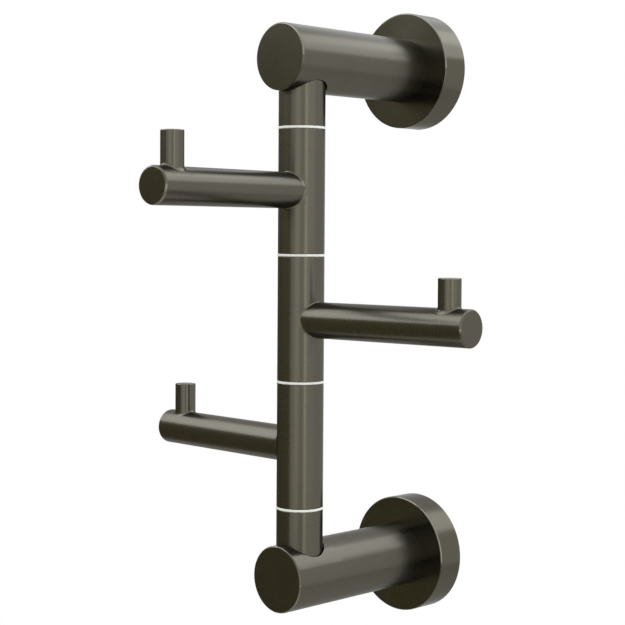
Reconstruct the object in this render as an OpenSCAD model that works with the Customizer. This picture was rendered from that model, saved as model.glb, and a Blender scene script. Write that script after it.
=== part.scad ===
// Wall-mounted towel hook rail with three swivelling hooks, in millimetres.
// Z is up and the wall is the plane y = 0. The origin lies on the wall, midway
// between the two wall plates, and the rail stands in front of the wall, at -Y.

/* [Overall] */
// Height between the centres of the two wall fixings
post_spacing = 221; // [200:1:260]
// Distance from the wall to the axis of the rail
rail_standoff = 77.3; // [60:0.1:100]

/* [Rail] */
// Outside diameter of the rail's sleeves
rail_d = 20; // [18:0.5:22]
// Length of each swivelling sleeve
sleeve_l = 53; // [40:1:57]
// Diameter of the spindle inside the sleeves
spindle_d = 8; // [7:0.5:10]

/* [Spacers] */
// Thickness of the thin ring that shows between two sleeves
ring_t = 1; // [0.6:0.1:3]
// Height that the ring stands proud of the sleeves
ring_proud = 0.2; // [0.1:0.1:0.6]
// Diameter of the hub on which a sleeve turns
hub_d = 14; // [12:0.5:15]
// Length of the hub on each side of the ring
hub_l = 8; // [5:0.5:10]

/* [Hooks] */
// Diameter of the arm
arm_d = 15.4; // [13:0.2:17]
// Distance from the rail's axis to the tip of the arm
arm_reach = 89.1; // [70:0.1:110]
// Diameter of the peg
peg_d = 9.4; // [7:0.2:11]
// Height of the upper peg above its arm
upper_peg_h = 14; // [8:0.1:20]
// Height of the middle peg above its arm
middle_peg_h = 11.9; // [8:0.1:20]
// Height of the lower peg above its arm
lower_peg_h = 13; // [8:0.1:20]
// Distance from the tip of the arm back to the peg's axis
peg_inset = 10.9; // [8:0.1:20]
// Depth to which the peg is set into the arm
peg_seat = 6; // [4:0.5:7]
// Diameter of the spigot that fixes the arm in its sleeve
spigot_d = 10; // [8:0.5:12]
// Height of the upper arm's axis above the middle of its sleeve
upper_arm_rise = 0.4; // [-2:0.1:2]
// Height of the middle arm's axis above the middle of its sleeve
middle_arm_rise = -0.4; // [-2:0.1:2]
// Height of the lower arm's axis above the middle of its sleeve
lower_arm_rise = -0.5; // [-2:0.1:2]
// Angle of the upper hook from straight out, towards +X
upper_angle = 5.3; // [-20:0.1:20]
// Angle of the middle hook from straight out, towards +X
middle_angle = 93.6; // [70:0.1:110]
// Angle of the lower hook from straight out, towards +X
lower_angle = -91.7; // [-110:0.1:-70]

/* [Posts] */
// Diameter of the post
post_d = 28.5; // [26:0.5:34]
// Distance from the rail's axis to the post's front face
post_nose = 13.6; // [12:0.1:20]
// Gap round the rail at the mouth of the bore
mouth_gap = 0.5; // [0.2:0.1:0.9]

/* [Roses] */
// Diameter of the round cover on the wall
rose_d = 52; // [48:1:60]
// Distance from the wall to the rose's front face
rose_t = 13.3; // [12:0.1:16]
// Thickness of the rose's front
rose_front = 3; // [2:0.5:3.5]
// Thickness of the rose's rim
rose_rim = 3; // [2:0.5:4]

/* [Wall plates] */
// Thickness of the plate inside the rose
plate_t = 6; // [5:0.5:7]
// Diameter of the holes for the wall screws
plate_hole_d = 5; // [4:0.5:6]
// Distance between the two wall screws of one plate
plate_hole_spacing = 30; // [28:1:33]
// Diameter of the plate's opening round the tie screw's head
plate_eye_d = 16; // [14:0.5:17]

/* [Fasteners] */
// Thread diameter of the tie screw from the rose to the rail
tie_d = 6; // [5:0.5:6]
// Thread diameter of the screw in each end of the spindle
spindle_screw_d = 5; // [4:0.5:5]
// Thread diameter of the grub screw under each rose
grub_d = 4; // [3:0.5:4]

/* [Hidden] */
$fn = 96;

// Clearances: turning parts, faces that slide, pressed pieces, threads and screws in plain holes
run_gap = 0.05;
face_gap = 0.05;
press_gap = 0.02;
thread_gap = 0.05;
screw_gap = 0.2;
// Overrun of every cut
over = 1;
// Fine chamfers: post and arm ends, sleeve ends, rose front, peg top, small fasteners
bar_edge = 0.45;
sleeve_edge = 0.15;
rose_edge = 0.5;
peg_edge = 0.4;
small_edge = 0.3;
// Thread pitches, and the share of a pitch from crest to root
tie_pitch = 1;
spindle_pitch = 0.8;
grub_pitch = 0.7;
thread_depth_share = 0.61;
// Tie screw: head, socket, thread length, washer, and gap left from its tip to the spindle
tie_head_d = 10;
tie_head_l = 6;
tie_socket = 5;
tie_thread_l = 20;
washer_t = 1.6;
washer_ring = 2.8;
washer_split = 0.8;
tie_tip_gap = 0.6;
// Spindle screw: head, socket, length, and the room that lets it draw the stack together
end_head_d = 8.5;
end_head_l = 3.5;
end_socket = 3;
end_screw_l = 12;
draw_room = 0.5;
spring_d = 11;
spring_t = 0.7;
spring_rise = 0.3;
pocket_gap = 0.5;
// Web of the end sleeve beyond the tie screw, the sleeve's length past the spindle screw's head,
// and its gap from the blind end of the post's bore
web_over = 1;
head_cover = 0.5;
end_gap = 0.5;
hub_end_gap = 0.5;
// Spigot: how far its end stays back from the sleeve's bore
spigot_back = 0.5;
// Height of the bore's mouth above the saddle that it cuts in the post
mouth_over = 1.5;
// Rose: gap round the plate; grub screw's depth in the plate's dimple and below the rim
plate_gap = 0.3;
grub_depth = 0.9;
grub_recess = 0.2;
grub_socket = 2;
grub_point_d = 1.2;
// Countersink of a wall screw hole
sink_d = 9;

// Sizes worked out from the sizes above
rail_r = rail_d / 2;
post_r = post_d / 2;
post_z = post_spacing / 2;
ring_d = rail_d + 2 * ring_proud;
pitch = sleeve_l + ring_t + 2 * face_gap;
sleeve_bore_d = hub_d + 2 * run_gap;
stack_top = 1.5 * pitch + ring_t / 2 + face_gap;
web_end = post_z + tie_d / 2 + web_over;
spring_l = spring_t + spring_rise;
screw_seat = web_end + spring_l;
sleeve_end = screw_seat + end_head_l + head_cover;
bore_end = sleeve_end + end_gap;
pocket_d = spring_d + 2 * pocket_gap;
spindle_end = web_end - draw_room;
spindle_bore_d = spindle_d + 2 * run_gap;
fit_bore_d = rail_d + 2 * run_gap;
mouth_d = rail_d + 2 * mouth_gap;
mouth_end = post_z - sqrt(pow(post_r, 2) - pow(mouth_d / 2, 2)) + mouth_over;
post_l = rail_standoff + post_nose - rose_t;
arm_r = arm_d / 2;
saddle_r = rail_r + press_gap;
spigot_start = sleeve_bore_d / 2 + spigot_back;
peg_reach = arm_reach - peg_inset;
plate_d = rose_d - 2 * rose_rim - 2 * plate_gap;
tie_hole_d = tie_d + 2 * screw_gap;
tie_seat = rose_t - rose_front - washer_t;
tie_tip = spindle_d / 2 + tie_tip_gap;
tie_end = rail_standoff - tie_tip;
tie_turns = floor(tie_thread_l / tie_pitch);
tap_turns = ceil((rail_r - tie_tip + over + tie_pitch) / tie_pitch);
end_turns = floor(end_screw_l / spindle_pitch);
screw_tip = screw_seat - end_turns * spindle_pitch;
grub_tip = plate_d / 2 - grub_depth;
grub_l = rose_d / 2 - grub_recess - grub_tip;
grub_point_l = grub_d / 2 - thread_depth_share * grub_pitch - grub_point_d / 2;
grub_turns = floor((grub_l - grub_point_l) / grub_pitch);
grub_thread_start = grub_l - grub_turns * grub_pitch;

// Where things stand: each ring, each swivelling sleeve, and the two sides
ring_z = [for (i = [0:3]) (1.5 - i) * pitch];
hook_z = [for (i = [0:2]) (1 - i) * pitch];
hook_angles = [upper_angle, middle_angle, lower_angle];
arm_rises = [upper_arm_rise, middle_arm_rise, lower_arm_rise];
peg_heights = [upper_peg_h, middle_peg_h, lower_peg_h];
upper = 1;
lower = -1;

// Finishes: brushed graphite, white nylon, zinc plating, stainless and spring steel
graphite = [0.36, 0.35, 0.32];
nylon = [0.93, 0.94, 0.93];
zinc = [0.72, 0.73, 0.75];
stainless = [0.62, 0.63, 0.65];
spring_steel = [0.42, 0.43, 0.46];

// A piece on the wall at the upper or lower fixing
module at_fixing(side) {
    translate([0, 0, side * post_z]) children();
}

// A piece on the rail's axis, drawn for the upper end and mirrored for the lower
module at_rail_end(side) {
    translate([0, -rail_standoff, 0]) mirror([0, 0, side == lower ? 1 : 0]) children();
}

// The grub screw's place in one rose, drawn along +Z from its point and turned to point down
module at_grub() {
    translate([0, -plate_t / 2, -grub_tip]) mirror([0, 0, 1]) children();
}

// Turns a piece drawn along +Z so that it points straight out from the wall
module outwards() {
    rotate([90, 0, 0]) children();
}

// One hook's place on the rail, turned about the rail's axis
module at_hook(i) {
    translate([0, -rail_standoff, hook_z[i]]) rotate([0, 0, hook_angles[i]]) children();
}

// The level of one hook's arm, which may lie a little off the middle of its sleeve
module at_arm(i) {
    at_hook(i) translate([0, 0, arm_rises[i]]) children();
}

// Round bar along +Z with a chamfer at its far end
module bar(d, l, edge) {
    rotate_extrude() polygon([
        [0, 0], [d / 2, 0], [d / 2, l - edge], [d / 2 - edge, l], [0, l]
    ]);
}

// Round bar along +Z with a chamfer at both ends
module double_bar(d, l, edge) {
    rotate_extrude() polygon([
        [0, 0], [d / 2 - edge, 0], [d / 2, edge], [d / 2, l - edge], [d / 2 - edge, l], [0, l]
    ]);
}

// Threaded rod along +Z with rings of the true thread form; gap widens it for a tapped hole
module thread(d, step, turns, gap) {
    crest = d / 2 + gap;
    root = crest - thread_depth_share * step;
    teeth = [for (i = [0:turns - 1], k = [0, 1]) [k == 0 ? root : crest, (i + k / 2) * step]];
    rotate_extrude() polygon(concat([[0, 0]], teeth, [[root, turns * step], [0, turns * step]]));
}

// Hexagon socket for a key, sunk from z = 0 downwards
module socket(af, depth) {
    translate([0, 0, -depth]) cylinder(d = af / cos(30), h = depth + over, $fn = 6);
}

// Plate screwed to the wall, which carries the rose
module wall_plate(side) {
    color(zinc) at_fixing(side) difference() {
        outwards() bar(plate_d, plate_t, small_edge);
        outwards() translate([0, 0, -over]) cylinder(d = plate_eye_d, h = plate_t + 2 * over);
        for (x = [-1, 1] * plate_hole_spacing / 2) translate([x, 0, 0]) outwards() {
            translate([0, 0, -over]) cylinder(d = plate_hole_d, h = plate_t + 2 * over);
            translate([0, 0, plate_t - (sink_d - plate_hole_d) / 2])
                cylinder(d1 = plate_hole_d, d2 = sink_d, h = (sink_d - plate_hole_d) / 2);
        }
        at_grub() translate([0, 0, -press_gap])
            cylinder(d1 = grub_point_d, d2 = grub_point_d + 2 * (grub_depth + over),
                h = grub_depth + over);
    }
}

// Round cover pressed over the wall plate, with the tie screw's hole in its front
module rose(side) {
    color(graphite) at_fixing(side) difference() {
        outwards() bar(rose_d, rose_t, rose_edge);
        outwards() translate([0, 0, -over])
            cylinder(d = rose_d - 2 * rose_rim, h = rose_t - rose_front + over);
        outwards() cylinder(d = tie_hole_d, h = rose_t + over);
        at_grub() translate([0, 0, grub_thread_start - grub_pitch])
            thread(grub_d, grub_pitch, grub_turns + ceil(2 * over / grub_pitch), thread_gap);
    }
}

// Grub screw under the rose, its point in the plate's dimple
module grub_screw(side) {
    core_d = grub_point_d + 2 * grub_point_l;
    color(stainless) at_fixing(side) at_grub() difference() {
        union() {
            cylinder(d1 = grub_point_d, d2 = core_d, h = grub_point_l);
            translate([0, 0, grub_point_l]) cylinder(d = core_d, h = grub_l - grub_point_l);
            translate([0, 0, grub_thread_start]) thread(grub_d, grub_pitch, grub_turns, 0);
        }
        translate([0, 0, grub_l]) socket(grub_socket, grub_l / 2);
    }
}

// Solid bar from the rose to the rail, bored from one side for the rail's end
module post(side) {
    color(graphite) difference() {
        at_fixing(side) translate([0, -rose_t, 0]) outwards() bar(post_d, post_l, bar_edge);
        at_rail_end(side) {
            cylinder(d = mouth_d, h = mouth_end);
            cylinder(d = fit_bore_d, h = bore_end);
        }
        at_fixing(side) outwards() cylinder(d = tie_hole_d, h = rail_standoff);
    }
}

// Long screw from inside the rose, through the post, into the rail's end
module tie_screw(side) {
    plain_l = tie_end - tie_seat - tie_turns * tie_pitch;
    color(stainless) at_fixing(side) difference() {
        outwards() union() {
            translate([0, 0, tie_seat]) mirror([0, 0, 1]) bar(tie_head_d, tie_head_l, small_edge);
            translate([0, 0, tie_seat]) cylinder(d = tie_d, h = plain_l);
            translate([0, 0, tie_end]) mirror([0, 0, 1]) thread(tie_d, tie_pitch, tie_turns, 0);
        }
        outwards() translate([0, 0, tie_seat - tie_head_l]) mirror([0, 0, 1])
            socket(tie_socket, tie_head_l / 2);
    }
}

// Split spring washer between the tie screw's head and the rose
module lock_washer(side) {
    color(spring_steel) at_fixing(side) outwards() translate([0, 0, tie_seat]) difference() {
        cylinder(d = tie_hole_d + 2 * washer_ring, h = washer_t);
        translate([0, 0, -over]) cylinder(d = tie_hole_d, h = washer_t + 2 * over);
        translate([0, -washer_split / 2, -over]) cube([tie_head_d, washer_split, washer_t + 2 * over]);
    }
}

// Rod through the whole rail, tapped at both ends
module spindle() {
    color(stainless) difference() {
        translate([0, -rail_standoff, -spindle_end])
            double_bar(spindle_d, 2 * spindle_end, small_edge);
        for (side = [upper, lower]) at_rail_end(side)
            translate([0, 0, screw_tip - spindle_pitch])
                thread(spindle_screw_d, spindle_pitch, end_turns + 2, thread_gap);
    }
}

// Fixed sleeve that fills the post's bore and carries the tie screw's thread
module end_sleeve(side) {
    length = sleeve_end - stack_top;
    color(graphite) at_rail_end(side) difference() {
        translate([0, 0, stack_top]) double_bar(rail_d, length, sleeve_edge);
        translate([0, 0, stack_top - over])
            cylinder(d = sleeve_bore_d, h = hub_l + hub_end_gap + face_gap + over);
        translate([0, 0, stack_top - over]) cylinder(d = spindle_bore_d, h = length + 2 * over);
        translate([0, 0, web_end]) cylinder(d = pocket_d, h = length);
        translate([0, tie_tip - tie_pitch, post_z]) rotate([-90, 0, 0])
            thread(tie_d, tie_pitch, tap_turns, thread_gap);
    }
}

// Conical spring that keeps the stack of sleeves and rings tight
module disc_spring(side) {
    inner = spindle_screw_d / 2 + screw_gap;
    outer = spring_d / 2;
    color(spring_steel) at_rail_end(side) translate([0, 0, web_end]) rotate_extrude() polygon([
        [outer, 0], [outer, spring_t], [inner, spring_l], [inner, spring_rise]
    ]);
}

// Low-head socket screw that draws the stack together against its spring
module spindle_screw(side) {
    color(stainless) at_rail_end(side) difference() {
        union() {
            translate([0, 0, screw_seat]) bar(end_head_d, end_head_l, small_edge);
            translate([0, 0, screw_tip]) thread(spindle_screw_d, spindle_pitch, end_turns, 0);
        }
        translate([0, 0, screw_seat + end_head_l]) socket(end_socket, end_head_l / 2);
    }
}

// White ring between two sleeves, with a hub into each of them
module spacer(i) {
    color(nylon) translate([0, -rail_standoff, ring_z[i]]) difference() {
        union() {
            cylinder(d = ring_d, h = ring_t, center = true);
            cylinder(d = hub_d, h = ring_t + 2 * hub_l, center = true);
        }
        cylinder(d = spindle_bore_d, h = ring_t + 2 * (hub_l + over), center = true);
    }
}

// Sleeve that turns on the hubs of the rings above and below it
module hook_sleeve(i) {
    color(graphite) difference() {
        at_hook(i) translate([0, 0, -sleeve_l / 2]) double_bar(rail_d, sleeve_l, sleeve_edge);
        at_hook(i) cylinder(d = sleeve_bore_d, h = sleeve_l + 2 * over, center = true);
        at_arm(i) outwards() cylinder(d = spigot_d + 2 * press_gap, h = rail_r + over);
    }
}

// Arm whose root is cut to the sleeve's curve, with a spigot through the sleeve's wall
module arm(i) {
    color(graphite) at_arm(i) difference() {
        union() {
            difference() {
                outwards() bar(arm_d, arm_reach, bar_edge);
                cylinder(r = saddle_r, h = arm_d + 2 * over, center = true);
            }
            outwards() translate([0, 0, spigot_start]) cylinder(d = spigot_d, h = arm_r + rail_r - spigot_start);
        }
        translate([0, -peg_reach, arm_r - peg_seat]) cylinder(d = peg_d + 2 * press_gap, h = peg_seat + over);
    }
}

// Upright peg near the arm's tip, which keeps a towel's loop on the arm
module peg(i) {
    color(graphite) at_arm(i) translate([0, -peg_reach, arm_r - peg_seat])
        bar(peg_d, peg_seat + peg_heights[i], peg_edge);
}

wall_plate(upper);  // upper_wall_plate
wall_plate(lower);  // lower_wall_plate
rose(upper);  // upper_rose
rose(lower);  // lower_rose
grub_screw(upper);  // upper_grub_screw
grub_screw(lower);  // lower_grub_screw
post(upper);  // upper_post
post(lower);  // lower_post
tie_screw(upper);  // upper_tie_screw
tie_screw(lower);  // lower_tie_screw
lock_washer(upper);  // upper_lock_washer
lock_washer(lower);  // lower_lock_washer
spindle();
end_sleeve(upper);  // upper_end_sleeve
end_sleeve(lower);  // lower_end_sleeve
disc_spring(upper);  // upper_disc_spring
disc_spring(lower);  // lower_disc_spring
spindle_screw(upper);  // upper_spindle_screw
spindle_screw(lower);  // lower_spindle_screw
spacer(0);  // top_spacer
spacer(1);  // upper_spacer
spacer(2);  // lower_spacer
spacer(3);  // bottom_spacer
hook_sleeve(0);  // upper_hook_sleeve
hook_sleeve(1);  // middle_hook_sleeve
hook_sleeve(2);  // lower_hook_sleeve
arm(0);  // upper_arm
arm(1);  // middle_arm
arm(2);  // lower_arm
peg(0);  // upper_peg
peg(1);  // middle_peg
peg(2);  // lower_peg
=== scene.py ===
import math

import bmesh
import bpy
from mathutils import Matrix, Vector


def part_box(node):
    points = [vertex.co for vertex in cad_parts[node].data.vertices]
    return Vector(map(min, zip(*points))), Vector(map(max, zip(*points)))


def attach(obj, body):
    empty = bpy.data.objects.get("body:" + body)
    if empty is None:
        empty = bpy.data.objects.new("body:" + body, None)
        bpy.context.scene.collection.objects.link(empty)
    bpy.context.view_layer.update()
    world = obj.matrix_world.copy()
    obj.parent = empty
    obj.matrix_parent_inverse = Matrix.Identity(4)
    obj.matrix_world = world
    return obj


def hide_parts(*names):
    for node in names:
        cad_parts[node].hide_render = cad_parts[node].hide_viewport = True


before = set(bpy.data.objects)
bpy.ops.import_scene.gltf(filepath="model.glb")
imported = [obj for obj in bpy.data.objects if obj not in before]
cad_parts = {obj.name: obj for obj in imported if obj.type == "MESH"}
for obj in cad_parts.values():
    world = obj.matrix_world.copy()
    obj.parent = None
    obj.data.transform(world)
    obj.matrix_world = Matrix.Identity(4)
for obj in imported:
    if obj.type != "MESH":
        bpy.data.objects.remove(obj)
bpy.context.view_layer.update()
scene = bpy.context.scene
scene.view_settings.view_transform = "Standard"
mm = 0.001


# Camera
# The rail is seen from its right and from a little above its middle, through a long lens.
# The camera's place was worked out from the outlines of the posts, the roses and the arms.
picture_px = 625
focal_px = 1518.3
lens_axis_row = 281.6
sensor_width = 36.0
camera_azimuth = math.radians(44.7)
camera_height = math.radians(1.9)
camera_roll = math.radians(0.37)
camera_distance = 649.5 * mm
camera_right = 5.0 * mm
camera_up = 15.5 * mm

spindle_low, spindle_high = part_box("spindle")
rail_axis = (spindle_low + spindle_high) / 2

back = Vector((
    math.sin(camera_azimuth) * math.cos(camera_height),
    -math.cos(camera_azimuth) * math.cos(camera_height),
    math.sin(camera_height),
))
level_right = Vector((math.cos(camera_azimuth), math.sin(camera_azimuth), 0))
level_up = back.cross(level_right)
right = level_right * math.cos(camera_roll) + level_up * math.sin(camera_roll)
up = back.cross(right)

lens = bpy.data.cameras.new("camera")
lens.sensor_width = sensor_width
lens.lens = focal_px / picture_px * sensor_width
lens.shift_y = (lens_axis_row - (picture_px - 1) / 2) / picture_px
camera = bpy.data.objects.new("camera", lens)
camera.matrix_world = Matrix.Translation(
    rail_axis + back * camera_distance + right * camera_right + up * camera_up
) @ Matrix((right, up, back)).transposed().to_4x4()
scene.collection.objects.link(camera)
scene.camera = camera


# Studio
# A rail like this hangs at chest height, so the pale floor lies well below it. The room is white.
# Soft boxes above and on both sides light the rail, and two warm strips give the metal its bands.
def hex_colour(code):
    """The linear colour of an sRGB hex value."""
    shares = [int(code[k:k + 2], 16) / 255 for k in (0, 2, 4)]
    linear = [s / 12.92 if s <= 0.04045 else ((s + 0.055) / 1.055) ** 2.4 for s in shares]
    return (*linear, 1.0)


def connect(tree, node, inputs):
    """Sets a node's inputs. Each is a plain value, or the output socket that it is linked to."""
    for name, value in inputs.items():
        if isinstance(value, bpy.types.NodeSocket):
            tree.links.new(value, node.inputs[name])
        else:
            node.inputs[name].default_value = value


def add_node(tree, kind, settings=None, inputs=None):
    """Adds a node to a tree, with its settings and its inputs."""
    node = tree.nodes.new(kind)
    for name, value in (settings or {}).items():
        setattr(node, name, value)
    connect(tree, node, inputs or {})
    return node


room_strength = 0.85
world = bpy.data.worlds.new("white_room")
world.use_nodes = True
world.node_tree.nodes.clear()
ray = add_node(world.node_tree, "ShaderNodeLightPath")
seen_or_mirrored = add_node(world.node_tree, "ShaderNodeMath", {"operation": "MAXIMUM"}, {
    0: ray.outputs["Is Camera Ray"], 1: ray.outputs["Is Glossy Ray"],
})
shown_white = add_node(world.node_tree, "ShaderNodeMath", {"operation": "MAXIMUM"}, {
    0: seen_or_mirrored.outputs[0], 1: ray.outputs["Is Transmission Ray"],
})
room_light = add_node(world.node_tree, "ShaderNodeBackground", None, {
    "Color": hex_colour("FFFFFF"), "Strength": room_strength,
})
room_white = add_node(world.node_tree, "ShaderNodeBackground", None, {
    "Color": hex_colour("FFFFFF"), "Strength": 1.0,
})
room = add_node(world.node_tree, "ShaderNodeMixShader", None, {
    0: shown_white.outputs[0], 1: room_light.outputs[0], 2: room_white.outputs[0],
})
add_node(world.node_tree, "ShaderNodeOutputWorld", None, {"Surface": room.outputs[0]})
scene.world = world


def aimed(azimuth, height, distance):
    """The place of something that faces the rail, its azimuth counted from the camera to its right."""
    turn = camera_azimuth + math.radians(azimuth)
    rise = math.radians(height)
    away = Vector((math.sin(turn) * math.cos(rise), -math.cos(turn) * math.cos(rise), math.sin(rise)))
    across = Vector((math.cos(turn), math.sin(turn), 0))
    facing = Matrix((across, away.cross(across), away)).transposed().to_4x4()
    return Matrix.Translation(rail_axis + away * distance) @ facing


def soft_box(name, azimuth, height, distance, width, length, brightness, tint="FFFFFF"):
    """A soft box aimed at the rail, whose front is brightness times as bright as the white room."""
    lamp = bpy.data.lights.new(name, "AREA")
    lamp.shape = "RECTANGLE"
    lamp.size = width
    lamp.size_y = length
    lamp.energy = brightness * math.pi * width * length
    lamp.color = hex_colour(tint)[:3]
    box = bpy.data.objects.new(name, lamp)
    box.matrix_world = aimed(azimuth, height, distance)
    box.visible_camera = False
    scene.collection.objects.link(box)


soft_box(
    "ceiling_box", azimuth=0, height=88, distance=1.5, width=2.4, length=1.6,
    brightness=0.8, tint="F2F6FF",
)
soft_box(
    "left_box", azimuth=-103, height=35, distance=1.5, width=1.7, length=1.0,
    brightness=2.0, tint="F4F8FF",
)
soft_box(
    "right_box", azimuth=108, height=37, distance=1.5, width=1.1, length=0.8,
    brightness=1.6, tint="EDF4FF",
)
soft_box(
    "back_card", azimuth=145, height=48, distance=0.45, width=0.4, length=0.13,
    brightness=1.5, tint="EDF4FF",
)
soft_box("window_box", azimuth=45, height=20, distance=2.0, width=1.8, length=2.0, brightness=0.35)
soft_box(
    "left_strip", azimuth=-18, height=0, distance=1.7, width=0.7, length=1.2,
    brightness=0.61, tint="F9F6CE",
)
soft_box(
    "right_strip", azimuth=22, height=0, distance=1.7, width=0.25, length=1.2,
    brightness=1.72, tint="F9F6CE",
)

floor_depth = 1.2
floor_radius = 3.5
floor_sides = 96
floor_mesh = bmesh.new()
bmesh.ops.create_circle(
    floor_mesh, cap_ends=True, segments=floor_sides, radius=floor_radius,
    matrix=Matrix.Translation((0, 0, -floor_depth)),
)
floor_data = bpy.data.meshes.new("floor")
floor_mesh.to_mesh(floor_data)
floor_mesh.free()
floor = bpy.data.objects.new("floor", floor_data)
scene.collection.objects.link(floor)


def new_material(name):
    """A node material with a plain Principled shader: the material, its tree and the shader."""
    material = bpy.data.materials.new(name)
    material.use_nodes = True
    tree = material.node_tree
    tree.nodes.clear()
    shader = add_node(tree, "ShaderNodeBsdfPrincipled")
    add_node(tree, "ShaderNodeOutputMaterial", None, {"Surface": shader.outputs[0]})
    return material, tree, shader


# Smooth pale screed, rolled matt: even, with faint clouds
screed_cloud = 667 * mm
screed, tree, shader = new_material("pale_screed")
spot = add_node(tree, "ShaderNodeTexCoord")
clouds = add_node(tree, "ShaderNodeTexNoise", None, {
    "Vector": spot.outputs["Object"], "Scale": 1 / screed_cloud, "Detail": 4.0,
})
tone = add_node(tree, "ShaderNodeMix", {"data_type": "RGBA"}, {
    0: clouds.outputs[0], 6: hex_colour("E4E3E0"), 7: hex_colour("EAE9E7"),
})
connect(tree, shader, {"Base Color": tone.outputs[2], "Roughness": 0.8})
floor_data.materials.append(screed)

# Brown felt, a pressed wool: it gives back a little warm light
felt, tree, shader = new_material("brown_felt_flag")
connect(tree, shader, {"Base Color": hex_colour("847F66"), "Roughness": 1.0, "Specular IOR Level": 0.1})


def flag(name, azimuth, height, distance, width, length):
    """A felt flag beside the camera's view, which metal mirrors as a dark band."""
    cloth = bmesh.new()
    bmesh.ops.create_grid(cloth, x_segments=1, y_segments=1, size=0.5)
    bmesh.ops.scale(cloth, vec=(width, length, 1), verts=cloth.verts)
    cloth.transform(aimed(azimuth, height, distance))
    data = bpy.data.meshes.new(name)
    cloth.to_mesh(data)
    cloth.free()
    data.materials.append(felt)
    card = bpy.data.objects.new(name, data)
    card.visible_camera = False
    scene.collection.objects.link(card)


flag("left_flag", azimuth=-95, height=-16, distance=1.2, width=2.3, length=1.6)
flag("low_flag", azimuth=-5, height=-28, distance=1.4, width=1.2, length=0.5)
flag("back_flag", azimuth=-156, height=-4, distance=1.2, width=0.7, length=0.8)


# Wall plates
# The two round plates that are screwed to the wall: zinc plated steel, turned and drilled, with
# two countersunk holes beside a large eye that leaves room for the tie screw's head.
columns = 192
arc_steps = 6
same_place = 0.001 * mm


def rounded(corners):
    """Profile points from corners (radius, height, rounding), each rounded corner drawn as an arc."""
    points = []
    for k, (radius, height, rounding) in enumerate(corners):
        here = Vector((radius, height))
        if not rounding:
            points.append(here)
            continue
        before = (Vector(corners[k - 1][:2]) - here).normalized()
        after = (Vector(corners[(k + 1) % len(corners)][:2]) - here).normalized()
        half = before.angle(after) / 2
        reach = rounding / math.tan(half)
        centre = here + (before + after).normalized() * rounding / math.sin(half)
        start = here + before * reach - centre
        end = here + after * reach - centre
        points += [
            centre + start.slerp(end, s / arc_steps).normalized() * rounding for s in range(arc_steps + 1)
        ]
    return points


rim_shares = (0.25, 0.5, 0.75, 0.92, 1.0)


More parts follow.
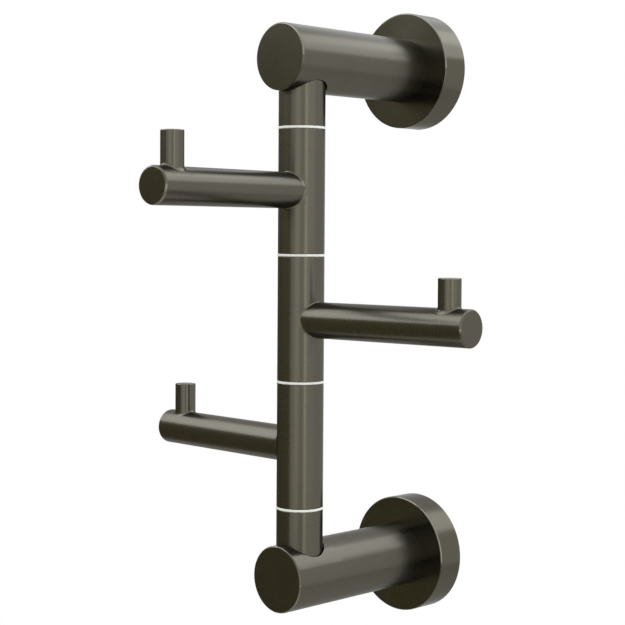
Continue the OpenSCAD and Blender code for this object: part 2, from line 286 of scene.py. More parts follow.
def lathe(points, closed=False, windows=()):
    """Turns profile points (radius, height) about local Z. A window is a round hole bored through one
    straight wall at local +X; the mesh and each hole's open rim are returned."""
    body = bmesh.new()
    brushing = body.loops.layers.uv.new("turned")
    turning = body.verts.layers.float_vector.new("turning")
    along = [0.0]
    for here, there in zip(points, points[1:] + points[:1]):
        along.append(along[-1] + (there - here).length)
    grid = {}

    def grid_vertex(column, row):
        row %= len(points)
        radius, height = points[row]
        column = 0 if radius < same_place else column % columns
        if (column, row) not in grid:
            turn = 2 * math.pi * column / columns
            place = (radius * math.cos(turn), radius * math.sin(turn), height)
            grid[column, row] = body.verts.new(place)
            grid[column, row][turning] = (place[0], place[1], along[row])
        return grid[column, row]

    def add_face(corners):
        """Adds a face from (vertex, u, v) corners, leaving out a corner that a pole repeats."""
        kept = [c for k, c in enumerate(corners) if c[0] is not corners[k - 1][0]]
        if len(kept) < 3:
            return
        face = body.faces.new([c[0] for c in kept])
        for loop, corner in zip(face.loops, kept):
            loop[brushing].uv = corner[1:]

    def in_window(column, row):
        offset = (column + columns // 2) % columns - columns // 2
        return any(w["rows"][0] <= row < w["rows"][1] and -w["half"] <= offset < w["half"] for w in windows)

    for w in windows:
        on_wall = [k for k, p in enumerate(points)
                   if abs(p[0] - w["wall"]) < same_place and w["low"] <= p[1] <= w["high"]]
        w["rows"] = (on_wall[0], on_wall[-1])
    for row in range(len(points) if closed else len(points) - 1):
        for column in range(columns):
            if not in_window(column, row):
                add_face([
                    (grid_vertex(column, row), along[row], column / columns),
                    (grid_vertex(column + 1, row), along[row], (column + 1) / columns),
                    (grid_vertex(column + 1, row + 1), along[row + 1], (column + 1) / columns),
                    (grid_vertex(column, row + 1), along[row + 1], column / columns),
                ])

    rims = []
    for w in windows:
        first, last = w["rows"]
        half = w["half"]
        border = [(c, last) for c in range(0, half)] + [(half, r) for r in range(last, first, -1)]
        border += [(c, first) for c in range(half, -half, -1)] + [(-half, r) for r in range(first, last)]
        border += [(c, last) for c in range(-half, 0)]
        away = 1 if points[last].y > points[first].y else -1
        start_along = along[first] - away * points[first].y

        def on_wall_vertex(across, height, sunk=0.0):
            vertex = body.verts.new((math.sqrt(w["wall"] ** 2 - across ** 2) - sunk, across, height))
            vertex[turning] = (vertex.co.x, across, start_along + away * height)
            return vertex, start_along + away * height, math.asin(across / w["wall"]) / (2 * math.pi)

        outer = []
        for column, row in border:
            vertex = grid_vertex(column, row)
            outer.append((vertex, along[row], column / columns))
        if "bearings" not in w:
            w["bearings"] = [math.atan2(v[0].co.y, v[0].co.z - w["at"]) for v in outer]
        mouth = w["hole"] + w.get("lip", 0.0)
        rings = [outer]
        for share in rim_shares:
            ring = []
            for (vertex, _, _), bearing in zip(outer, w["bearings"]):
                rim_across = mouth * math.sin(bearing)
                rim_height = w["at"] + mouth * math.cos(bearing)
                ring.append(on_wall_vertex(
                    vertex.co.y + (rim_across - vertex.co.y) * share,
                    vertex.co.z + (rim_height - vertex.co.z) * share,
                ))
            rings.append(ring)
        for step in range(1, arc_steps + 1 if w.get("lip") else 1):
            turn = math.pi / 2 * step / arc_steps
            reach = mouth - w["lip"] * math.sin(turn)
            rings.append([
                on_wall_vertex(
                    reach * math.sin(b), w["at"] + reach * math.cos(b), w["lip"] * (1 - math.cos(turn))
                ) for b in w["bearings"]
            ])
        for wide, narrow in zip(rings, rings[1:]):
            for k in range(len(wide)):
                after = (k + 1) % len(wide)
                add_face([wide[k], wide[after], narrow[after], narrow[k]])
        rims.append([corner[0] for corner in rings[-1]])
    return body, rims


def sink_hole(body, rim, window, steps):
    """Carries a hole inwards from its rim through (radius, depth position) steps to a flat bottom."""
    brushing = body.loops.layers.uv["turned"]
    ring = rim
    travelled = 0.0
    for radius, reach in steps:
        inner = [
            body.verts.new((reach, radius * math.sin(b), window["at"] + radius * math.cos(b)))
            for b in window["bearings"]
        ]
        deeper = travelled + (inner[0].co - ring[0].co).length
        for k in range(len(ring)):
            after = (k + 1) % len(ring)
            face = body.faces.new((ring[k], ring[after], inner[after], inner[k]))
            shares = (k / len(ring), (k + 1) / len(ring))
            places = [(travelled, share) for share in shares]
            places += [(deeper, share) for share in reversed(shares)]
            for loop, place in zip(face.loops, places):
                loop[brushing].uv = place
        ring, travelled = inner, deeper
    body.faces.new(ring)


seam_turn = 0.01


def join_rims(body, outer, inner, at):
    """Joins the rims of one hole on two walls. Its middle is at this height, and both rims are
    counted from just before straight up."""
    def bearing(vertex):
        return (math.atan2(vertex.co.y, vertex.co.z - at) + seam_turn) % (2 * math.pi)

    outer = sorted(outer, key=bearing)
    inner = sorted(inner, key=bearing)
    for k in range(len(outer)):
        after = (k + 1) % len(outer)
        body.faces.new((outer[k], outer[after], inner[after], inner[k]))


sharp_angle = math.radians(35)
rounded_over = math.radians(10)
flat_end = 0.99


def face_outwards(body):
    """Turns the faces of each closed shell outwards."""
    bmesh.ops.recalc_face_normals(body, faces=body.faces)
    left = set(body.faces)
    while left:
        shell = [left.pop()]
        for face in shell:
            for edge in face.edges:
                for other in edge.link_faces:
                    if other in left:
                        left.remove(other)
                        shell.append(other)
        if sum(f.calc_center_median().dot(f.normal) * f.calc_area() for f in shell) < 0:
            bmesh.ops.reverse_faces(body, faces=shell)


def finished(name, body, place, material, rides_on, stands_for, end_material=None):
    """Makes a piece of a bmesh: places it, turns its faces outwards and links it on its body in place of
    its CAD nodes.
    """
    body.normal_update()
    for face in body.faces:
        face.material_index = 1 if end_material and abs(face.normal.z) > flat_end else 0
    face_outwards(body)
    body.transform(place)
    # Convex rounded edges are marked for a lighter tone: coating worn thin there, and a painted highlight
    # along each edge.
    edge_wear_and_highlight_mask = body.verts.layers.float.new("edge")
    for edge in body.edges:
        bend = edge.calc_face_angle(0)
        edge.smooth = bend < sharp_angle
        if rounded_over < bend < sharp_angle and edge.is_convex:
            for vertex in edge.verts:
                vertex[edge_wear_and_highlight_mask] = 1.0
    for face in body.faces:
        face.smooth = True
    mesh = bpy.data.meshes.new(name)
    body.to_mesh(mesh)
    body.free()
    mesh.materials.append(material)
    if end_material:
        mesh.materials.append(end_material)
    return settled(name, mesh, rides_on, stands_for)


def settled(name, mesh, rides_on, stands_for):
    """Links a finished mesh as a piece that rides on its body in place of its CAD nodes."""
    piece = bpy.data.objects.new(name, mesh)
    scene.collection.objects.link(piece)
    piece.modifiers.new("large_faces_lead", "WEIGHTED_NORMAL").keep_sharp = True
    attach(piece, rides_on)
    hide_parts(*stands_for)
    return piece


def placing(x_axis, z_axis, origin):
    """The matrix that lays local X and Z along two directions at right angles."""
    x = Vector(x_axis).normalized()
    z = Vector(z_axis).normalized()
    return Matrix.Translation(origin) @ Matrix((x, z.cross(x), z)).transposed().to_4x4()


fixed_body = "rail_and_fixings"
sides = {"upper": 1, "lower": -1}
outwards = (0, -1, 0)

# Zinc plating, passivated bluish: bright and a little cloudy, with fine turning marks
zinc_mark_length = 20 * mm
zinc_mark_width = 0.4 * mm
zinc_cloud = 5 * mm
zinc, tree, shader = new_material("zinc_plated_steel")
turned_place = add_node(tree, "ShaderNodeAttribute", {"attribute_name": "turning"})
marks = add_node(tree, "ShaderNodeMapping", None, {
    "Vector": turned_place.outputs["Vector"],
    "Scale": (1 / zinc_mark_length, 1 / zinc_mark_length, 1 / zinc_mark_width),
})
grooves = add_node(tree, "ShaderNodeTexNoise", None, {
    "Vector": marks.outputs[0], "Scale": 1.0, "Detail": 2.0,
})
spot = add_node(tree, "ShaderNodeTexCoord")
spangle = add_node(tree, "ShaderNodeTexNoise", None, {
    "Vector": spot.outputs["Object"], "Scale": 1 / zinc_cloud, "Detail": 3.0,
})
tone = add_node(tree, "ShaderNodeMix", {"data_type": "RGBA"}, {
    0: spangle.outputs[0], 6: hex_colour("A9AEB4"), 7: hex_colour("C3C6C6"),
})
dullness = add_node(tree, "ShaderNodeMapRange", None, {
    "Value": grooves.outputs[0], "To Min": 0.28, "To Max": 0.42,
})
connect(tree, shader, {
    "Base Color": tone.outputs[2], "Metallic": 1.0, "Roughness": dullness.outputs[0],
})

plate_edge = 0.4 * mm
plate_eye_d = 16 * mm
plate_hole_d = 5 * mm
plate_sink_d = 9 * mm
plate_sink_depth = (plate_sink_d - plate_hole_d) / 2
plate_holes_apart = 30 * mm
dimple_r = 0.6 * mm
dimple_depth = 0.92 * mm
cut_over = 1 * mm
dimple_drill_r = dimple_r + dimple_depth + cut_over


def cut(piece_body, tool_body):
    """Cuts one bmesh with another and gives the result as a bmesh. A narrow face that the cut
    leaves out of a bore's wall is filled in again."""
    holders = []
    for label, body in (("blank", piece_body), ("tool", tool_body)):
        bmesh.ops.recalc_face_normals(body, faces=body.faces)
        mesh = bpy.data.meshes.new(label)
        body.to_mesh(mesh)
        body.free()
        holders.append(bpy.data.objects.new(label, mesh))
        scene.collection.objects.link(holders[-1])
    trim = holders[0].modifiers.new("cut", "BOOLEAN")
    trim.operation = "DIFFERENCE"
    trim.object = holders[1]
    graph = bpy.context.evaluated_depsgraph_get()
    result = bmesh.new()
    result.from_object(holders[0], graph)
    for holder in holders:
        bpy.data.objects.remove(holder)
    bmesh.ops.remove_doubles(result, verts=result.verts, dist=same_place)
    bmesh.ops.holes_fill(result, edges=[e for e in result.edges if e.is_boundary], sides=4)
    return result


for label in sides:
    low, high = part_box(label + "_wall_plate")
    plate_r = (high.x - low.x) / 2
    plate_t = high.y - low.y
    blank, _ = lathe(rounded([
        (plate_eye_d / 2, 0, 0), (plate_r, 0, 0), (plate_r, plate_t, plate_edge),
        (plate_eye_d / 2, plate_t, 0),
    ]), closed=True)
    for way in (-1, 1):
        drill, _ = lathe([
            Vector((0, -cut_over)), Vector((plate_hole_d / 2, -cut_over)),
            Vector((plate_hole_d / 2, plate_t - plate_sink_depth)), Vector((plate_sink_d / 2, plate_t)),
            Vector((plate_sink_d / 2, plate_t + cut_over)), Vector((0, plate_t + cut_over)),
        ])
        drill.transform(Matrix.Translation((way * plate_holes_apart / 2, 0, 0)))
        blank = cut(blank, drill)
    drill, _ = lathe([
        Vector((0, 0)), Vector((dimple_r, 0)), Vector((dimple_drill_r, dimple_depth + cut_over)),
        Vector((0, dimple_depth + cut_over)),
    ])
    drill.transform(placing((1, 0, 0), (0, -1, 0), (0, dimple_depth - plate_r, plate_t / 2)))
    blank = cut(blank, drill)
    centre = Vector(((low.x + high.x) / 2, high.y, (low.z + high.z) / 2))
    finished(
        label + "_mounting_plate", blank, placing((1, 0, 0), outwards, centre), zinc,
        fixed_body, [label + "_wall_plate"],
    )


# Roses
# The round covers over the wall plates: turned from brass, satin brushed round and round and
# coated in warm graphite. A tapped hole at the lowest point of the rim takes the grub screw.
cloud_size = 18 * mm
cloud_share = 0.35
line_depth = 0.02 * mm
waver_width = 6 * mm
waver_length = 45 * mm
waver_depth = 0.03 * mm


def brushed_metal(
    name, dark, light, dull, anisotropy, line_width, streak_length, edge_tint="FFFFFF", edge_wear_and_highlight=None,
):
    """A turned and brushed metal: fine lines round the piece, reflections smeared across them, and
    the slight waver that polishing by hand leaves along a bar."""
    material, tree, shader = new_material(name)
    place = add_node(tree, "ShaderNodeAttribute", {"attribute_name": "turning"})
    lines = add_node(tree, "ShaderNodeMapping", None, {
        "Vector": place.outputs["Vector"],
        "Scale": (1 / streak_length, 1 / streak_length, 1 / line_width),
    })
    streaks = add_node(tree, "ShaderNodeTexNoise", None, {
        "Vector": lines.outputs[0], "Scale": 1.0, "Detail": 3.0, "Roughness": 0.6,
    })
    spot = add_node(tree, "ShaderNodeTexCoord")
    clouds = add_node(tree, "ShaderNodeTexNoise", None, {
        "Vector": spot.outputs["Object"], "Scale": 1 / cloud_size, "Detail": 2.0,
    })
    blend = add_node(tree, "ShaderNodeMix", {"data_type": "FLOAT"}, {
        0: cloud_share, 2: streaks.outputs[0], 3: clouds.outputs[0],
    })
    tone = add_node(tree, "ShaderNodeMix", {"data_type": "RGBA"}, {
        0: blend.outputs[0], 6: hex_colour(dark), 7: hex_colour(light),
    })
    # The marked rounded edges take a lighter tone: coating worn thin there, and a painted highlight along
    # each edge.
    if edge_wear_and_highlight:
        edge_wear_and_highlight_mask = add_node(tree, "ShaderNodeAttribute", {"attribute_name": "edge"})
        tone = add_node(tree, "ShaderNodeMix", {"data_type": "RGBA"}, {
            0: edge_wear_and_highlight_mask.outputs["Fac"], 6: tone.outputs[2], 7: hex_colour(edge_wear_and_highlight),
        })
    dullness = add_node(tree, "ShaderNodeMapRange", None, {
        "Value": blend.outputs[0], "From Min": 0.3, "From Max": 0.7,
        "To Min": dull[0], "To Max": dull[1],
    })
    across = add_node(tree, "ShaderNodeTangent", {"direction_type": "UV_MAP", "uv_map": "turned"})
    long_run = add_node(tree, "ShaderNodeMapping", None, {
        "Vector": place.outputs["Vector"],
        "Scale": (1 / waver_width, 1 / waver_width, 1 / waver_length),
    })
    hand = add_node(tree, "ShaderNodeTexNoise", None, {
        "Vector": long_run.outputs[0], "Scale": 1.0, "Detail": 1.0,
    })
    waver = add_node(tree, "ShaderNodeBump", None, {
        "Height": hand.outputs[0], "Strength": 1.0, "Distance": waver_depth,
    })
    relief = add_node(tree, "ShaderNodeBump", None, {
        "Height": streaks.outputs[0], "Strength": 0.02, "Distance": line_depth, "Normal": waver.outputs[0],
    })
    connect(tree, shader, {
        "Base Color": tone.outputs[2], "Metallic": 1.0, "Roughness": dullness.outputs[0],
        "Anisotropic": anisotropy, "Tangent": across.outputs[0], "Normal": relief.outputs[0],
        "Specular Tint": hex_colour(edge_tint),
    })
    return material


# Graphite PVD over brushed brass: a warm dark grey that is never quite even from line to line.
# The brush's grit is near 0.1 mm, too fine to show, so its lines are drawn 0.35 mm wide.
# The lighter tone of rounded edges: coating worn thin there, and a painted highlight along each edge.
wear_and_highlight_tone = "7A776E"
coating_edge = "D0D0D0"
brush_line = 0.35 * mm
brush_streak = 60 * mm
graphite = brushed_metal(
    "graphite_pvd_brushed", "545148", "605D52", dull=(0.18, 0.23), anisotropy=0.5, line_width=brush_line,
    streak_length=brush_streak, edge_tint=coating_edge, edge_wear_and_highlight=wear_and_highlight_tone,
)

rose_edge = 0.6 * mm
rose_foot_edge = 0.2 * mm
rose_inner_edge = 0.5 * mm
rose_wall = 3 * mm
grub_hole_d = 4.1 * mm
grub_hole_lip = 0.25 * mm
grub_hole_room = 2.4 * mm
grub_hole_rows = 4
grub_hole_columns = 4
tie_hole_r = 3.2 * mm


def rows_round(at, room, steps):
    """Evenly spaced heights on both sides of a hole at this height."""
    return [at + room * (2 * k / steps - 1) for k in range(steps + 1)]


for label in sides:
    low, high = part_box(label + "_rose")
    rose_r = (high.x - low.x) / 2
    rose_t = high.y - low.y
    plate_low, plate_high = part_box(label + "_wall_plate")
    grub_height = (plate_high.y - plate_low.y) / 2
    rim_rows = rows_round(grub_height, grub_hole_room, grub_hole_rows)
    through = {"low": rim_rows[0], "high": rim_rows[-1], "at": grub_height, "hole": grub_hole_d / 2,
               "half": grub_hole_columns}
    holes = [
        {**through, "wall": rose_r, "lip": grub_hole_lip},
        {**through, "wall": rose_r - rose_wall},
    ]
    corners = [(tie_hole_r, rose_t, 0), (rose_r, rose_t, rose_edge)]
    corners += [(rose_r, h, 0) for h in reversed(rim_rows)]
    corners += [(rose_r, 0, rose_foot_edge), (rose_r - rose_wall, 0, rose_foot_edge)]
    corners += [(rose_r - rose_wall, h, 0) for h in rim_rows]
    corners.append((rose_r - rose_wall, rose_t - rose_wall, rose_inner_edge))
    corners.append((tie_hole_r, rose_t - rose_wall, 0))
    shell, rims = lathe(rounded(corners), closed=True, windows=holes)
    join_rims(shell, *rims, grub_height)
    centre = Vector(((low.x + high.x) / 2, high.y, (low.z + high.z) / 2))
    finished(
        label + "_wall_rose", shell, placing((0, 0, -1), outwards, centre), graphite,
        fixed_body, [label + "_rose"],
    )


# Grub screws
# The headless screws that lock each rose on its plate from below: stainless steel, rolled thread,
# a cone point in the plate's dimple and a hexagon socket for a 2 mm key.
def new_tree(name, inputs):
    """An empty geometry tree with named inputs: the tree and its input node."""
    made = bpy.data.node_groups.new(name, "GeometryNodeTree")
    for label, kind in inputs.items():
        made.interface.new_socket(label, in_out="INPUT", socket_type="NodeSocket" + kind)
    made.interface.new_socket("Geometry", in_out="OUTPUT", socket_type="NodeSocketGeometry")
    return made, made.nodes.new("NodeGroupInput").outputs


def grown(name, made, values):
    """The mesh that a geometry tree gives for these input values."""
    holder = bpy.data.objects.new(name, bpy.data.meshes.new(name))
    scene.collection.objects.link(holder)
    modifier = holder.modifiers.new("tree", "NODES")
    modifier.node_group = made
    for socket in made.interface.items_tree:
        if socket.name in values:
            modifier[socket.identifier] = values[socket.name]
    graph = bpy.context.evaluated_depsgraph_get()
    mesh = bpy.data.meshes.new_from_object(holder.evaluated_get(graph))
    bpy.data.objects.remove(holder)
    return mesh


screw_columns = 96
edge_steps = 4


def turned_bar(tree, radius, length, edge):
    """Nodes for a solid bar about Z, upwards from z = 0, with both its edges rounded."""
    half = add_node(tree, "ShaderNodeMath", {"operation": "MULTIPLY"}, {0: radius, 1: 0.5})
    section = add_node(tree, "GeometryNodeCurvePrimitiveQuadrilateral", None, {
        "Width": radius, "Height": length,
    })
    place = add_node(tree, "GeometryNodeInputPosition")
    split = add_node(tree, "ShaderNodeSeparateXYZ", None, {0: place.outputs[0]})
    outside = add_node(tree, "ShaderNodeMath", {"operation": "GREATER_THAN"}, {
        0: split.outputs["X"], 1: 0.0,
    })
    rounding = add_node(tree, "ShaderNodeMath", {"operation": "MULTIPLY"}, {
        0: outside.outputs[0], 1: edge,
    })
    eased = add_node(tree, "GeometryNodeFilletCurve", {"mode": "POLY"}, {
        "Curve": section.outputs[0], "Count": edge_steps, "Radius": rounding.outputs[0],
        "Limit Radius": True,
    })
    circle = add_node(tree, "GeometryNodeCurvePrimitiveCircle", None, {
        "Resolution": screw_columns, "Radius": half.outputs[0],
    })
    swept = add_node(tree, "GeometryNodeCurveToMesh", None, {
        "Curve": circle.outputs[0], "Profile Curve": eased.outputs[0],
    })
    closed = add_node(tree, "GeometryNodeMergeByDistance", None, {
        "Geometry": swept.outputs[0], "Distance": same_place,
    })
    middle = add_node(tree, "ShaderNodeMath", {"operation": "MULTIPLY"}, {0: length, 1: 0.5})
    return raised(tree, closed, middle.outputs[0])


def raised(tree, piece, height):
    """Nodes that lift a piece along Z."""
    rise = add_node(tree, "ShaderNodeCombineXYZ", None, {"Z": height})
    return add_node(tree, "GeometryNodeTransform", None, {
        "Geometry": piece.outputs[0], "Translation": rise.outputs[0],
    })


thread_depth_share = 0.61
ridge_share = 0.55
ridge_sides = 3
thread_steps = 36
run_out_share = 0.1


def thread_core(tree, radius, pitch):
    """The radius at the bottom of a thread."""
    return add_node(tree, "ShaderNodeMath", {"operation": "MULTIPLY_ADD"}, {
        0: pitch, 1: -thread_depth_share, 2: radius,
    }).outputs[0]


def thread_ridge(tree, radius, pitch, turns):
    """Nodes for the ridge of a right-hand thread about Z, upwards from z = 0, which runs out at
    both its ends."""
    reach = add_node(tree, "ShaderNodeMath", {"operation": "MULTIPLY"}, {0: pitch, 1: ridge_share})
    centre = add_node(tree, "ShaderNodeMath", {"operation": "SUBTRACT"}, {0: radius, 1: reach.outputs[0]})
    height = add_node(tree, "ShaderNodeMath", {"operation": "MULTIPLY"}, {0: pitch, 1: turns})
    helix = add_node(tree, "GeometryNodeCurveSpiral", None, {
        "Resolution": thread_steps, "Rotations": turns, "Start Radius": centre.outputs[0],
        "End Radius": centre.outputs[0], "Height": height.outputs[0], "Reverse": True,
    })
    tooth = add_node(tree, "GeometryNodeCurvePrimitiveCircle", None, {
        "Resolution": ridge_sides, "Radius": reach.outputs[0],
    })
    outward = add_node(tree, "GeometryNodeTransform", None, {
        "Geometry": tooth.outputs[0], "Rotation": (0.0, 0.0, math.pi),
    })
    along = add_node(tree, "GeometryNodeSplineParameter")
    from_end = add_node(tree, "ShaderNodeMath", {"operation": "PINGPONG"}, {
        0: along.outputs["Factor"], 1: 0.5,
    })
    half_turn = add_node(tree, "ShaderNodeMath", {"operation": "DIVIDE"}, {0: 0.5, 1: turns})
    run_out = add_node(tree, "ShaderNodeMapRange", None, {
        "Value": from_end.outputs[0], "From Max": half_turn.outputs[0], "To Min": run_out_share,
    })
    return add_node(tree, "GeometryNodeCurveToMesh", None, {
        "Curve": helix.outputs[0], "Profile Curve": outward.outputs[0], "Scale": run_out.outputs[0],
        "Fill Caps": True,
    })


def broached(tree, piece, top, width, depth):
    """Nodes that sink a hexagon socket, width across its flats, from the top of a piece."""
    corner = add_node(tree, "ShaderNodeMath", {"operation": "DIVIDE"}, {0: width, 1: math.sqrt(3)})
    reach = add_node(tree, "ShaderNodeMath", {"operation": "MULTIPLY"}, {0: depth, 1: 2.0})
    key = add_node(tree, "GeometryNodeMeshCylinder", None, {
        "Vertices": 6, "Radius": corner.outputs[0], "Depth": reach.outputs[0],
    })
    placed = raised(tree, key, top)
    sunk = add_node(tree, "GeometryNodeMeshBoolean", {"operation": "DIFFERENCE", "solver": "EXACT"}, {
        "Mesh 1": piece.outputs[0], "Mesh 2": placed.outputs[0],
    })
    return add_node(tree, "GeometryNodeMergeByDistance", None, {
        "Geometry": sunk.outputs[0], "Distance": same_place,
    })


def joined(tree, pieces, finish):
    """Ends a tree: joins its pieces, keeps their unmoved places for the finish, and gives the result."""
    both = add_node(tree, "GeometryNodeJoinGeometry")
    for piece in pieces:
        tree.links.new(piece.outputs[0], both.inputs[0])
    real = add_node(tree, "GeometryNodeRealizeInstances", None, {"Geometry": both.outputs[0]})
    place = add_node(tree, "GeometryNodeInputPosition")
    vector_on_points = {"data_type": "FLOAT_VECTOR", "domain": "POINT"}
    kept = add_node(tree, "GeometryNodeStoreNamedAttribute", vector_on_points, {
        "Geometry": real.outputs[0], "Name": "turning", "Value": place.outputs[0],
    })
    painted = add_node(tree, "GeometryNodeSetMaterial", None, {
        "Geometry": kept.outputs[0], "Material": finish,
    })
    add_node(tree, "NodeGroupOutput", None, {0: painted.outputs[0]})


def made_of(mesh):
    """A bmesh of a grown mesh without the loose edges on its axis, ready to be finished."""
    body = bmesh.new()
    body.from_mesh(mesh)
    bmesh.ops.delete(body, geom=[e for e in body.edges if e.is_wire], context="EDGES")
    return body


# Austenitic stainless, machined bright: a cold light grey with faint tool marks
stainless = brushed_metal(
    "stainless_machined", "8E8F92", "A4A5A8", dull=(0.25, 0.35), anisotropy=0.0, line_width=0.3 * mm,
    streak_length=20 * mm,
)

grub, given = new_tree("grub_screw_turned", {
    "Thread Radius": "Float", "Pitch": "Float", "Turns": "Float", "Length": "Float",
    "Point Radius": "Float", "Point Length": "Float", "Edge": "Float", "Socket Width": "Float",
    "Socket Depth": "Float", "Finish": "Material",
})
core = thread_core(grub, given["Thread Radius"], given["Pitch"])
plain_l = add_node(grub, "ShaderNodeMath", {"operation": "SUBTRACT"}, {
    0: given["Length"], 1: given["Point Length"],
})
stem = raised(grub, turned_bar(grub, core, plain_l.outputs[0], given["Edge"]), given["Point Length"])
keyed = broached(grub, stem, given["Length"], given["Socket Width"], given["Socket Depth"])
point = add_node(grub, "GeometryNodeMeshCone", None, {
    "Vertices": screw_columns, "Radius Top": core, "Radius Bottom": given["Point Radius"],
    "Depth": given["Point Length"],
})
thread = thread_ridge(grub, given["Thread Radius"], given["Pitch"], given["Turns"])
ridge = raised(grub, thread, given["Point Length"])
joined(grub, [keyed, point, ridge], given["Finish"])

grub_pitch = 0.7 * mm
grub_point_l = 0.97 * mm
grub_edge = 0.1 * mm
grub_key = 2 * mm

for label in sides:
    low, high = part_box(label + "_grub_screw")
    length = high.z - low.z
    screw = made_of(grown(label + "_headless_screw", grub, {
        "Thread Radius": (high.x - low.x) / 2, "Pitch": grub_pitch,
        "Turns": (length - grub_point_l) / grub_pitch, "Length": length, "Point Radius": dimple_r,
        "Point Length": grub_point_l, "Edge": grub_edge, "Socket Width": grub_key,
        "Socket Depth": length / 2, "Finish": stainless,
    }))
    middle = (low + high) / 2
    finished(
        label + "_headless_screw", screw, placing((1, 0, 0), (0, 0, -1), (middle.x, middle.y, high.z)),
        stainless, fixed_body, [label + "_grub_screw"],
    )


# Posts
# The solid round bars from the roses to the rail: turned, brushed and coated like the roses, with
# a blind bore across the front end that takes the end of the rail.

# The bars' flat ends are buffed on a belt instead, so no line runs round and round on them
buffed_grain = 0.5 * mm
faced_graphite = brushed_metal(
    "graphite_pvd_faced", "535048", "5F5C52", dull=(0.22, 0.28), anisotropy=0.0, line_width=buffed_grain,
    streak_length=buffed_grain, edge_tint=coating_edge, edge_wear_and_highlight=wear_and_highlight_tone,
)
# The bars' sides are brushed by hand on a wheel, a little softer than the roses' faces
drawn_graphite = brushed_metal(
    "graphite_pvd_drawn", "56534B", "625F55", dull=(0.265, 0.295), anisotropy=0.5, line_width=brush_line,
    streak_length=brush_streak, edge_tint=coating_edge, edge_wear_and_highlight=wear_and_highlight_tone,
)
post_edge = 0.7 * mm
bore_lip = 0.3 * mm
mouth_gap = 0.5 * mm
mouth_depth = 1.5 * mm
mouth_room_behind = 3.5 * mm
mouth_room_before = 1.6 * mm
mouth_rows = 24
mouth_columns = 34
bore_floor = 9.5 * mm
sleeve_low, sleeve_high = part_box("upper_end_sleeve")
rail_r = (sleeve_high.x - sleeve_low.x) / 2
mouth_r = rail_r + mouth_gap

for label, side in sides.items():
    low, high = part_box(label + "_post")
    post_r = (high.x - low.x) / 2
    post_l = high.y - low.y
    centre = Vector(((low.x + high.x) / 2, high.y, (low.z + high.z) / 2))
    rail_at = high.y - rail_axis.y
    window_low = rail_at - mouth_r - mouth_room_behind
    window_high = rail_at + mouth_r + mouth_room_before
    wall_rows = [window_low + (window_high - window_low) * k / mouth_rows for k in range(mouth_rows + 1)]
    bore = {"wall": post_r, "low": window_low, "high": window_high, "at": rail_at,
            "hole": mouth_r, "lip": bore_lip, "half": mouth_columns}
    drilled = rail_at - mouth_r
    corners = [(0, drilled, 0), (tie_hole_r, drilled, 0), (tie_hole_r, 0, 0), (post_r, 0, 0)]
    corners += [(post_r, h, 0) for h in wall_rows]
    corners += [(post_r, post_l, post_edge), (0, post_l, 0)]
    bar, rims = lathe(rounded(corners), windows=[bore])
    shoulder = math.sqrt(post_r ** 2 - mouth_r ** 2) - mouth_depth
    sink_hole(bar, rims[0], bore, [(mouth_r, shoulder), (rail_r, shoulder), (rail_r, -bore_floor)])
    finished(
        label + "_bored_post", bar, placing((0, 0, -side), outwards, centre), drawn_graphite,
        fixed_body, [label + "_post"], faced_graphite,
    )


# Tie screws
# The long socket screws from inside each rose through its post into the rail's end: stainless
# steel, rolled thread, a head knurled for the fingers and a hexagon socket for a 5 mm key.
socket_screw, given = new_tree("socket_screw_turned", {
    "Thread Radius": "Float", "Pitch": "Float", "Turns": "Float", "Plain Length": "Float",
    "Head Radius": "Float", "Head Length": "Float", "Edge": "Float", "Socket Width": "Float",
    "Knurls": "Int", "Knurl Depth": "Float", "Finish": "Material",
})
knurled_share = 0.7
plain_edge = 0.02 * mm
core = thread_core(socket_screw, given["Thread Radius"], given["Pitch"])
head_r = add_node(socket_screw, "ShaderNodeMath", {"operation": "SUBTRACT"}, {
    0: given["Head Radius"], 1: given["Knurl Depth"],
})
half_head = add_node(socket_screw, "ShaderNodeMath", {"operation": "MULTIPLY"}, {
    0: given["Head Length"], 1: 0.5,
})
head = turned_bar(socket_screw, head_r.outputs[0], given["Head Length"], given["Edge"])
keyed = broached(socket_screw, head, given["Head Length"], given["Socket Width"], half_head.outputs[0])
knurl_l = add_node(socket_screw, "ShaderNodeMath", {"operation": "MULTIPLY"}, {
    0: given["Head Length"], 1: knurled_share,
})
knurl = raised(socket_screw, add_node(socket_screw, "GeometryNodeMeshCylinder", None, {
    "Vertices": 4, "Radius": given["Knurl Depth"], "Depth": knurl_l.outputs[0],
}), half_head.outputs[0])
rim = add_node(socket_screw, "GeometryNodeCurvePrimitiveCircle", None, {
    "Resolution": given["Knurls"], "Radius": head_r.outputs[0],
})
number = add_node(socket_screw, "GeometryNodeInputIndex")
step = add_node(socket_screw, "ShaderNodeMath", {"operation": "DIVIDE"}, {
    0: 2 * math.pi, 1: given["Knurls"],
})
turned_by = add_node(socket_screw, "ShaderNodeMath", {"operation": "MULTIPLY"}, {
    0: number.outputs[0], 1: step.outputs[0],
})
facing = add_node(socket_screw, "ShaderNodeCombineXYZ", None, {"Z": turned_by.outputs[0]})
knurls = add_node(socket_screw, "GeometryNodeInstanceOnPoints", None, {
    "Points": rim.outputs[0], "Instance": knurl.outputs[0], "Rotation": facing.outputs[0],
})
plain_end = add_node(socket_screw, "ShaderNodeMath", {"operation": "MULTIPLY"}, {
    0: given["Plain Length"], 1: -1.0,
})
plain = turned_bar(socket_screw, given["Thread Radius"], given["Plain Length"], plain_edge)
plain = raised(socket_screw, plain, plain_end.outputs[0])
thread_l = add_node(socket_screw, "ShaderNodeMath", {"operation": "MULTIPLY"}, {
    0: given["Pitch"], 1: given["Turns"],
})
tip = add_node(socket_screw, "ShaderNodeMath", {"operation": "SUBTRACT"}, {
    0: plain_end.outputs[0], 1: thread_l.outputs[0],
})
